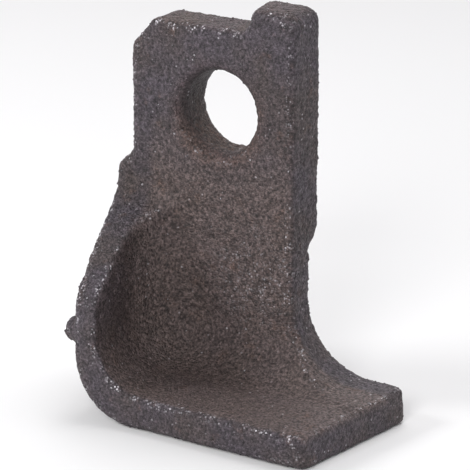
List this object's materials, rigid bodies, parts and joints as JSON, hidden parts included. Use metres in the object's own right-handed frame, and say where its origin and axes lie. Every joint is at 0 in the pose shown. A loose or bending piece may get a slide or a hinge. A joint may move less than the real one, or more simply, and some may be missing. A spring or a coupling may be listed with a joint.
{
  "type": "excavator scoop tooth",
  "caption": "Cast digging tooth with a flat pinned shank, an anti-rotation tab and an open cup with a flat cutting foot.",
  "frame": {"origin": "centre of the pin eye, halfway through the shank", "axes": "+Y along the pin eye, out of the mounting face; +Z from the foot up to the tab; +X towards the cutting edge"},
  "size_m": [0.0824, 0.0471, 0.1016],
  "materials": {
    "cast_skin": "as-cast gritty skin, dark brown-grey with a light rust bloom"
  },
  "bodies": {
    "root": {"tooth_casting": "cast_skin"}
  },
  "joints": []
}
